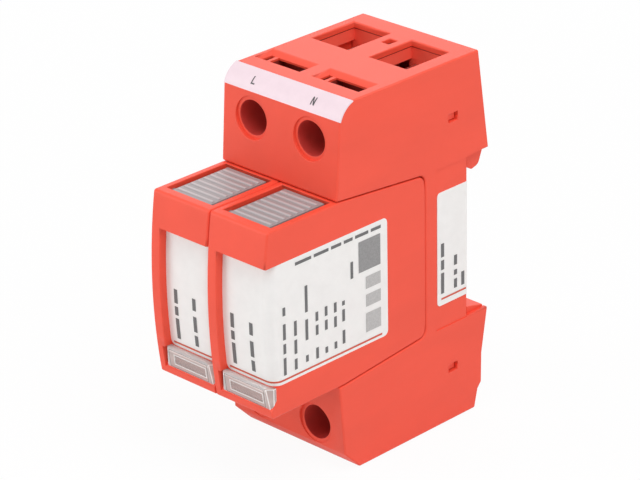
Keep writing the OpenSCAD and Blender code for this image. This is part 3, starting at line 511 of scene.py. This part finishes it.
def soften(node, width_at, widest, segments=2, highlight_finish=None, painted_shade_finish=None):
    """A copy of a CAD node with rounded edges, which stands for it."""
    mesh = CAD_NODES[node].data.copy()
    mesh.materials.clear()
    mesh.materials.append(finish_of(node))
    work = bmesh.new()
    work.from_mesh(mesh)
    bmesh.ops.remove_doubles(work, verts=work.verts, dist=WELD)
    bmesh.ops.dissolve_limit(work, angle_limit=math.radians(FLAT), verts=work.verts, edges=work.edges)
    weight = work.edges.layers.float.new("bevel_weight_edge")
    for face in work.faces:
        face.smooth = True
        # Faces of the screwdriver shaft walls take the darker red of painted shade
        if painted_shade_finish and in_shaft(face):
            face.material_index = 1
    for edge in work.edges:
        if len(edge.link_faces) != 2 or edge.calc_face_angle(0.0) < math.radians(CREASE):
            continue
        ends = [v.co / MM for v in edge.verts]
        middle = (ends[0] + ends[1]) / 2
        along = (ends[1] - ends[0]).normalized()
        normals = [face.normal for face in edge.link_faces]
        edge[weight] = width_at(middle, along, normals) / widest if edge.is_convex else 0
        edge.smooth = edge[weight] > 0
    work.to_mesh(mesh)
    work.free()
    rough = bpy.data.objects.new(node + "_rough", mesh)
    bpy.context.scene.collection.objects.link(rough)
    rounding = rough.modifiers.new("rounding", "BEVEL")
    rounding.limit_method = "WEIGHT"
    rounding.width = widest * MM
    rounding.segments = segments
    rounding.use_clamp_overlap = False
    rounding.miter_outer = "MITER_ARC"
    if painted_shade_finish:
        mesh.materials.append(painted_shade_finish)
    # The lens's rounded edges take a near-white finish of painted highlight
    if highlight_finish:
        mesh.materials.append(highlight_finish)
        rounding.material = 1
    shading = rough.modifiers.new("shading", "WEIGHTED_NORMAL")
    shading.keep_sharp = True
    piece = add_piece("soft_" + node, baked(rough), BODY_OF[node])
    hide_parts(node)
    return piece


def housing_rounding(middle, along, normals):
    """Rounding of the base housing's edges."""
    x, y, z = middle
    high = abs(z)
    flat_side = any(abs(n.x) > STRAIGHT for n in normals)
    if flat_side and abs(abs(x) - BODY_HALF_W) < ON_EDGE:
        if y > SPINE_FRONT_Y and high < SPINE_HALF_H:
            return 0
        if abs(high - SNAP_SIDE[1]) < SNAP_SIDE_REACH[1] and abs(y - SNAP_SIDE[0]) < SNAP_SIDE_REACH[0]:
            return SNAP_EDGE
        if z > STRIP_FOOT_Z and y < STRIP_REAR_Y:
            return 0
        return HOUSING_EDGE
    if abs(along.x) > STRAIGHT and z < CHAMFER_TOP_Z and y < CHAMFER_REAR_Y:
        return 0
    if abs(along.x) > STRAIGHT and y < BLOCK_FRONT_Y:
        return HOUSING_EDGE
    if high > HALF_H - ON_EDGE and any(abs(n.z) > STRAIGHT for n in normals):
        return ENTRY_EDGE if y > ENTRY_FRONT_Y and abs(x) > SNAP_TOP_REACH else OPENING_EDGE
    off_shaft = math.hypot(abs(x) - SIDES["right"], high - SCREW_Z)
    if y < SHAFT_MOUTH_Y and off_shaft < SHAFT_MOUTH_R:
        return SHAFT_EDGE
    return 0


def cover_rounding(pole_x):
    """Rounding of the edges of the module cover at this pole."""
    def width(middle, along, normals):
        x, y, z = middle.x - pole_x, middle.y, middle.z
        high = abs(z)
        flat_side = any(abs(n.x) > STRAIGHT for n in normals)
        if flat_side and abs(abs(x) - MODULE_HALF_W) < ON_EDGE:
            if x > 0 and y > PANEL_Y and WINDOW_TOP < z < SIDE_PANEL_TOP:
                return 0
            if x > 0 and y < WINDOW_SIDE_Y and WINDOW_FOOT < z < WINDOW_TOP + NEAR:
                return WINDOW_SEAT_EDGE
            if x > 0 and y < SILL_REAR_Y and z < SILL_TOP:
                return SILL_EDGE
            return COVER_EDGE if y < BAY_MOUTH_Y else COVER_INNER_EDGE
        if abs(along.x) > STRAIGHT and y < BROW_Y and high > BROW_Z:
            return BROW_EDGE
        if high > KEY_WELL_Z:
            return WELL_EDGE
        if y < PANEL_Y and abs(x - LABEL_X0) < NEAR:
            return PANEL_SIDE_EDGE
        if y < PANEL_Y and abs(z - PANEL_TOP) < NEAR:
            return PANEL_TOP_EDGE
        return 0
    return width


def lens_rounding(pole_x):
    """Rounding of the lens at this pole: wide at its left corners, none along the upper front edge."""
    def width(middle, along, normals):
        if abs(along.x) > STRAIGHT and middle.z > VIEW_Z:
            return 0
        if abs(along.y) > FACING and middle.x - pole_x < LENS_LEFT_X:
            return LENS_CORNER_EDGE
        return LENS_SIDE_EDGE
    return width


def insert_rounding(middle, along, normals):
    """Rounding of the hook's and the shoulders' edges behind the rail seat."""
    return INSERT_EDGE if middle.y > RAIL_SEAT_Y else 0


def foot_rounding(middle, along, normals):
    """Rounding of the rail foot's outer edges."""
    return FOOT_EDGE if abs(middle.x) > FOOT_HALF_W or abs(along.x) > STRAIGHT else 0


def key_rounding(middle, along, normals):
    """Rounding of a release key: the outline of its plate and the nose of its latch."""
    outline = any(abs(n.y) > FACING or abs(n.x) > STRAIGHT for n in normals)
    return KEY_EDGE if outline and abs(middle.z) > KEY_PLATE_Z else 0


def metal_rounding(middle, along, normals):
    """Every edge of the metal pieces is broken alike."""
    return METAL_EDGE


def wire_rounding(middle, along, normals):
    """Springs are wound from round wire, so no edge of theirs is rounded."""
    return 0


def view_bead(side, pole_x):
    """The moulded bead round the clear field of a lens: a closed ring that follows the lens's curve,
    near-white as painted highlight.
    """
    corners = ((-1, -1), (1, -1), (1, 1), (-1, 1))
    points = []
    for lift in (BEAD_H, -BEAD_ROOT):
        for grow in (BEAD_W, 0):
            wide, tall = (half + grow for half in VIEW_HALF)
            for right, up in corners:
                z = VIEW_Z + up * tall
                y = FRONT_AXIS_Y - math.sqrt((LENS_R + lift) ** 2 - z ** 2)
                points.append((pole_x + VIEW_X + right * wide, y, z))
    count = len(corners)
    faces = []
    for this in range(count):
        # Corners of the four loops: outer and inner at the front, outer and inner at the root
        a, b, c, d = (this + loop * count for loop in range(4))
        a2, b2, c2, d2 = ((this + 1) % count + loop * count for loop in range(4))
        faces += [(a, a2, b2, b), (c, d, d2, c2), (a, c, c2, a2), (b, b2, d2, d)]
    name = "view_bead_" + side
    add_piece(name, mesh_of(name, points, faces, LENS_HIGHLIGHT_EDGE), "module_" + side)


def live_spring(node):
    """A copy of a spring with merged facets and smooth shading, which stands for it and has a mesh of its
    own.
    """
    spring = soften(node, wire_rounding, METAL_EDGE)
    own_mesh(spring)


soften("base_housing", housing_rounding, HOUSING_EDGE, segments=3, painted_shade_finish=SHAFT_PAINTED_SHADE)
soften("rear_insert", insert_rounding, INSERT_EDGE)
soften("rail_foot", foot_rounding, FOOT_EDGE)
for side, pole_x in SIDES.items():
    soften("module_cover_" + side, cover_rounding(pole_x), BROW_EDGE, segments=3)
    soften("indicator_window_" + side, lens_rounding(pole_x), LENS_CORNER_EDGE, segments=3,
           highlight_finish=LENS_HIGHLIGHT_EDGE)
    for level in LEVELS:
        soften(f"{level}_key_{side}", key_rounding, KEY_EDGE)
        soften(f"{level}_blade_{side}", metal_rounding, METAL_EDGE)
        soften(f"terminal_cage_{level}_{side}", metal_rounding, METAL_EDGE)
        soften(f"terminal_screw_{level}_{side}", metal_rounding, METAL_EDGE)

for side, pole_x in SIDES.items():
    view_bead(side, pole_x)

for joint in frame["record"]["behaviour"]["joints"]:
    for spring in joint.get("deforming_nodes", []):
        live_spring(spring["node"])

for node, obj in CAD_NODES.items():
    obj.data.materials.clear()
    obj.data.materials.append(finish_of(node))


# Print

PRINT_LIFT = 0.05
FIELD_ROWS = 4
RULE_COLUMNS = 60
BASE_RULE_COLUMNS = 8
FIELD_COLUMNS = 4
BAR_ROWS = 3
BAR_COLUMNS = 7

# Letter heights in millimetres
FRONT_LETTER = 1.1
SIDE_LETTER = 0.85
EDGE_LETTER = 0.75
BASE_LETTER = 1.05

# Terminal letters on the strip, in millimetres
MARK_SLANT = 0.06
MARK_FOOT = -1.32
MARK_HEAD = 0.64
MARK_STEM = 0.3
MARK_STEPS = 5
LEFT_MARK_X = -10.1
LEFT_MARK_W = 1.1
RIGHT_MARK_X = 8.25
RIGHT_MARK_W = 0.85

# Rules along the labels: start, end, low and high, in millimetres
LABEL_RULE = (1.0, 48.0, -14.3, -13.85)
BASE_RULE = (1.3, 9.7, -12.75, -12.3)

# Plain fields on the side of a module label: front, rear, low and high, in millimetres
CODE_FIELD = (-35.8, -28.8, 3.4, 10.9)
SIGN_FIELDS = [(-33.6, -28.8, -1.2, 1.8), (-33.6, -28.8, -5.6, -2.6), (-33.7, -28.8, -11.9, -7.2)]

# Words of the labels: place across, then the ends of each word, in millimetres
FRONT_WORDS = [
    (2.9, [(-12.8, -7.6), (-6.8, -4.6), (-3.8, -0.3)]),
    (8.75, [(-12.8, -10.1), (-9.2, -5.3), (-3.8, -0.8)]),
]
SIDE_WORDS = [
    (-59.3, [(-13.0, -8.8), (-7.8, -5.4), (-4.4, -0.6), (1.4, 3.4)]),
    (-55.9, [(-12.8, -10.2), (-9.0, -5.6), (-4.6, -1.0)]),
    (-52.4, [(-12.2, -10.6), (-6.9, -1.9), (-0.1, 6.3)]),
    (-49.2, [(-12.6, -9.9), (-6.8, -4.4), (-3.4, -1.2)]),
    (-46.3, [(-12.3, -10.8), (-6.6, -4.2), (-3.2, -0.9)]),
    (-43.4, [(-12.3, -10.6), (-7.0, -4.4), (-3.4, -1.0)]),
    (-40.8, [(-12.0, -8.7), (-6.5, -3.6), (-2.6, -1.5)]),
    (-38.0, [(2.9, 7.0)]),
]
EDGE_WORDS = [
    (12.5, [(-55.6, -50.6), (-49.8, -45.2), (-44.4, -41.2), (-40.4, -37.6), (-36.8, -32.6), (-31.8, -28.6)]),
]
BASE_WORDS = [
    (1.7, [(-11.2, -6.0), (-5.2, -2.8), (-2.0, 1.4)]),
    (6.1, [(-11.2, -8.9), (-7.9, -6.6), (-5.4, -2.9)]),
    (8.6, [(-11.3, -7.9)]),
]


def label_point(along, z, pole_x):
    """A point of a module label: along runs from its left edge, round the corner and back on the side."""
    corner_start = LABEL_CORNER_X - LABEL_X0
    corner_end = corner_start + LABEL_CORNER_R * math.pi / 2
    if along < corner_start:
        radius = PANEL_R + PRINT_LIFT
        return (pole_x + LABEL_X0 + along, FRONT_AXIS_Y - math.sqrt(radius ** 2 - z ** 2), z)
    turn = min((along - corner_start) / LABEL_CORNER_R, math.pi / 2)
    reach = LABEL_CORNER_R + PRINT_LIFT
    radius = PANEL_R - LABEL_CORNER_R + reach * math.cos(turn)
    y = FRONT_AXIS_Y - math.sqrt(radius ** 2 - z ** 2) + max(0.0, along - corner_end)
    return (pole_x + LABEL_CORNER_X + reach * math.sin(turn), y, z)


def base_label_point(along, z):
    """A point of the base label: along runs from its front edge to the rear."""
    return (BASE_LABEL_X + PRINT_LIFT, BASE_LABEL_Y0 + along, z)


def strip_point(x, up):
    """A point of the marking strip: up runs over its arc from the middle line."""
    angle = STRIP_MIDDLE - up / STRIP_R
    reach = STRIP_R + PRINT_LIFT
    return (x, STRIP_AXIS[0] + reach * math.cos(angle), STRIP_AXIS[1] + reach * math.sin(angle))


def steps(start, end, count):
    """Evenly spaced values, both ends included."""
    return [start + (end - start) * i / count for i in range(count + 1)]


def print_field(name, body, place, edges, finish, columns):
    """A printed rule or field between its edges, laid on a surface by its place function."""
    x0, x1, z0, z1 = edges
    points = [place(x, z) for z in steps(z0, z1, FIELD_ROWS) for x in steps(x0, x1, columns)]
    count = columns + 1
    faces = [(r * count + c, r * count + c + 1, (r + 1) * count + c + 1, (r + 1) * count + c)
             for r in range(FIELD_ROWS) for c in range(columns)]
    add_piece(name, mesh_of(name, points, faces, finish), body)


def mark(name, x, strokes):
    """A plain letter on the marking strip from straight strokes: foot, head and width of each."""
    points, faces = [], []
    for (u0, v0), (u1, v1), wide in strokes:
        first = len(points)
        for v in steps(v0, v1, MARK_STEPS):
            u = u0 + (u1 - u0) * (v - v0) / (v1 - v0)
            lean = MARK_SLANT * v
            points += [strip_point(x + lean + u, v), strip_point(x + lean + u + wide, v)]
        faces += [(k, k + 1, k + 3, k + 2) for k in range(first, len(points) - 2, 2)]
    add_piece(name, mesh_of(name, points, faces, MARK_INK), "base")


def print_words_tree():
    """Geometry nodes: a flat bar on each point, as long as the point's word."""
    tree = bpy.data.node_groups.new("print_words", "GeometryNodeTree")
    face = tree.interface
    face.new_socket("Words", in_out="INPUT", socket_type="NodeSocketGeometry")
    face.new_socket("Letter Height", in_out="INPUT", socket_type="NodeSocketFloat")
    face.new_socket("Ink", in_out="INPUT", socket_type="NodeSocketMaterial")
    face.new_socket("Print", in_out="OUTPUT", socket_type="NodeSocketGeometry")
    given = tree.nodes.new("NodeGroupInput").outputs
    result = tree.nodes.new("NodeGroupOutput").inputs
    link = tree.links.new
    bar = tree.nodes.new("GeometryNodeMeshGrid")
    link(given["Letter Height"], bar.inputs["Size X"])
    bar.inputs["Size Y"].default_value = 1.0
    bar.inputs["Vertices X"].default_value = BAR_ROWS
    bar.inputs["Vertices Y"].default_value = BAR_COLUMNS
    length = tree.nodes.new("GeometryNodeInputNamedAttribute")
    length.data_type = "FLOAT"
    length.inputs["Name"].default_value = "word_length"
    stretch = tree.nodes.new("ShaderNodeCombineXYZ")
    stretch.inputs["X"].default_value = 1.0
    stretch.inputs["Z"].default_value = 1.0
    link(length.outputs["Attribute"], stretch.inputs["Y"])
    place = tree.nodes.new("GeometryNodeInstanceOnPoints")
    link(given["Words"], place.inputs["Points"])
    link(bar.outputs["Mesh"], place.inputs["Instance"])
    link(stretch.outputs["Vector"], place.inputs["Scale"])
    real = tree.nodes.new("GeometryNodeRealizeInstances")
    link(place.outputs["Instances"], real.inputs["Geometry"])
    inked = tree.nodes.new("GeometryNodeSetMaterial")
    link(real.outputs["Geometry"], inked.inputs["Geometry"])
    link(given["Ink"], inked.inputs["Material"])
    link(inked.outputs["Geometry"], result["Print"])
    return tree


PRINT_WORDS = print_words_tree()
PRINT_INPUTS = {item.name: item.identifier for item in PRINT_WORDS.interface.items_tree
                if item.in_out == "INPUT"}


def print_words(name, body, place, lines, height, turned=False):
    """Lines of small print as bars; a line is its place across and the ends of its words.

    Turned print runs across the label, so its faces are turned over to look outwards.
    """
    words = [(across, start, end) for across, ends in lines for start, end in ends]
    points = bpy.data.meshes.new(name)
    points.from_pydata([(across, (start + end) / 2, 0) for across, start, end in words], [], [])
    length = points.attributes.new("word_length", "FLOAT", "POINT")
    length.data.foreach_set("value", [end - start for across, start, end in words])
    sheet = bpy.data.objects.new(name + "_sheet", points)
    bpy.context.scene.collection.objects.link(sheet)
    bars = sheet.modifiers.new("print", "NODES")
    bars.node_group = PRINT_WORDS
    bars[PRINT_INPUTS["Letter Height"]] = height
    bars[PRINT_INPUTS["Ink"]] = GREY_INK
    mesh = baked(sheet)
    for vertex in mesh.vertices:
        vertex.co = Vector(place(vertex.co.x, vertex.co.y)) * MM
    if turned:
        mesh.flip_normals()
    mesh.update()
    add_piece(name, mesh, body)


for side, pole_x in SIDES.items():
    body = "module_" + side

    def on_label(along, z, pole_x=pole_x):
        return label_point(along, z, pole_x)

    def on_side(y, z, pole_x=pole_x):
        return (pole_x + MODULE_HALF_W + PRINT_LIFT, y, z)

    def on_side_turned(z, y, place=on_side):
        return place(y, z)

    print_field("label_rule_" + side, body, on_label, LABEL_RULE, RULE_INK, RULE_COLUMNS)
    print_field("code_field_" + side, body, on_side, CODE_FIELD, FIELD_INK, FIELD_COLUMNS)
    for number, field in enumerate(SIGN_FIELDS, 1):
        print_field(f"sign_field_{side}_{number}", body, on_side, field, PALE_INK, FIELD_COLUMNS)
    print_words("front_print_" + side, body, on_label, FRONT_WORDS, FRONT_LETTER)
    print_words("side_print_" + side, body, on_side, SIDE_WORDS, SIDE_LETTER)
    print_words("edge_print_" + side, body, on_side_turned, EDGE_WORDS, EDGE_LETTER, turned=True)
print_field("base_rule", "base", base_label_point, BASE_RULE, RULE_INK, BASE_RULE_COLUMNS)
print_words("base_print", "base", base_label_point, BASE_WORDS, BASE_LETTER)

left_stem = ((0, MARK_FOOT), (0, MARK_HEAD), MARK_STEM)
foot_bar = ((0, MARK_FOOT), (0, MARK_FOOT + MARK_STEM), LEFT_MARK_W)
right_stem = ((RIGHT_MARK_W, MARK_FOOT), (RIGHT_MARK_W, MARK_HEAD), MARK_STEM)
slope = ((RIGHT_MARK_W, MARK_FOOT), (0, MARK_HEAD), MARK_STEM)
mark("mark_left", LEFT_MARK_X, [left_stem, foot_bar])
mark("mark_right", RIGHT_MARK_X, [left_stem, right_stem, slope])


# Studio

AMBIENT = 0.5
LAMP_TARGET = (0, -0.03, 0)
# Lamps: name, place and size in metres, watts
LAMPS = (
    ("top_box", (0.3, -0.15, 0.65), 0.45, 2.8),
    ("rear_box", (-0.5, 0.6, 0.42), 0.6, 1.5),
    ("front_box", (-0.5, -0.6, 0.25), 0.4, 2.0),
    ("right_box", (0.7, 0.05, 0.3), 0.5, 0.6),
)
FLOOR_HALF = 3.0
FLOOR_GAP = 0.0002
# Share of white in the floor near the object, and the distances over which it grows to all white
FLOOR_WHITE = 0.94
SHADOW_REACH = (0.1, 0.45)
# Camera of the photograph, fitted to the edges of the base
CAMERA_FOCUS = 172.4
CAMERA_SENSOR = 36.0
CAMERA_CLIP = (0.01, 20.0)
CAMERA_AXES = (
    (0.715028, 0.698867, -0.017894),
    (-0.278292, 0.308022, 0.909767),
    (0.641318, -0.645529, 0.414733),
)
CAMERA_PLACE = (0.444788, -0.477424, 0.291656)


def placed(axes, location):
    """Matrix of something at a location, with its right, up and back axes."""
    place = Matrix([Vector(axis) for axis in axes]).transposed().to_4x4()
    place.translation = Vector(location)
    return place


def softbox(name, location, size, watts):
    """A square soft lamp that looks at the object."""
    lamp = bpy.data.lights.new(name, "AREA")
    lamp.shape = "SQUARE"
    lamp.size = size
    lamp.energy = watts
    back = (Vector(location) - Vector(LAMP_TARGET)).normalized()
    right = Vector((0, 0, 1)).cross(back).normalized()
    obj = bpy.data.objects.new(name, lamp)
    obj.matrix_world = placed((right, back.cross(right), back), location)
    bpy.context.scene.collection.objects.link(obj)


def background_ray(tree):
    """1 for rays that see the background: camera, glossy and transmission rays."""
    path = tree.nodes.new("ShaderNodeLightPath").outputs
    seen = math_node(tree, "MAXIMUM", path["Is Camera Ray"], path["Is Glossy Ray"])
    return math_node(tree, "MAXIMUM", seen, path["Is Transmission Ray"])


def white_world():
    """White background that lights the object more weakly than it shows."""
    world = bpy.data.worlds.new("studio")
    bpy.context.scene.world = world
    world.use_nodes = True
    tree = world.node_tree
    light = tree.nodes["Background"]
    light.inputs["Color"].default_value = WHITE
    light.inputs["Strength"].default_value = AMBIENT
    seen = tree.nodes.new("ShaderNodeBackground")
    seen.inputs["Color"].default_value = WHITE
    seen.inputs["Strength"].default_value = 1.0
    mix = tree.nodes.new("ShaderNodeMixShader")
    tree.links.new(background_ray(tree), mix.inputs["Fac"])
    tree.links.new(light.outputs["Background"], mix.inputs[1])
    tree.links.new(seen.outputs["Background"], mix.inputs[2])
    tree.links.new(mix.outputs["Shader"], tree.nodes["World Output"].inputs["Surface"])


def studio_floor():
    """Pale floor that keeps part of the object's shadow and fades into the white background."""
    material, tree, shader = new_material("floor")
    shader.inputs["Base Color"].default_value = (*FLOOR_GREY, 1)
    shader.inputs["Roughness"].default_value = 0.9
    shader.inputs["Specular IOR Level"].default_value = 0.0
    glow = tree.nodes.new("ShaderNodeEmission")
    glow.inputs["Color"].default_value = WHITE
    coord = tree.nodes.new("ShaderNodeTexCoord")
    far = tree.nodes.new("ShaderNodeVectorMath")
    far.operation = "LENGTH"
    tree.links.new(coord.outputs["Object"], far.inputs[0])
    fade = tree.nodes.new("ShaderNodeMapRange")
    fade.inputs["From Min"].default_value = SHADOW_REACH[0]
    fade.inputs["From Max"].default_value = SHADOW_REACH[1]
    fade.inputs["To Min"].default_value = FLOOR_WHITE
    fade.inputs["To Max"].default_value = 1.0
    tree.links.new(far.outputs["Value"], fade.inputs["Value"])
    mix = tree.nodes.new("ShaderNodeMixShader")
    share = math_node(tree, "MULTIPLY", background_ray(tree), fade.outputs["Result"])
    tree.links.new(share, mix.inputs["Fac"])
    tree.links.new(shader.outputs["BSDF"], mix.inputs[1])
    tree.links.new(glow.outputs["Emission"], mix.inputs[2])
    tree.links.new(mix.outputs["Shader"], tree.nodes["Material Output"].inputs["Surface"])
    mesh = bpy.data.meshes.new("floor")
    z = -HALF_H * MM - FLOOR_GAP
    corners = [(x * FLOOR_HALF, y * FLOOR_HALF, z) for x, y in ((-1, -1), (1, -1), (1, 1), (-1, 1))]
    mesh.from_pydata(corners, [], [(0, 1, 2, 3)])
    mesh.materials.append(material)
    floor = bpy.data.objects.new("floor", mesh)
    bpy.context.scene.collection.objects.link(floor)


def photo_camera():
    """Camera at the photograph's angle."""
    data = bpy.data.cameras.new("camera")
    data.sensor_width = CAMERA_SENSOR
    data.lens = CAMERA_FOCUS
    data.clip_start, data.clip_end = CAMERA_CLIP
    camera = bpy.data.objects.new("camera", data)
    camera.matrix_world = placed(CAMERA_AXES, CAMERA_PLACE)
    bpy.context.scene.collection.objects.link(camera)
    bpy.context.scene.camera = camera


photo_camera()
white_world()
studio_floor()
for lamp in LAMPS:
    softbox(*lamp)
bpy.context.scene.view_settings.view_transform = "Standard"
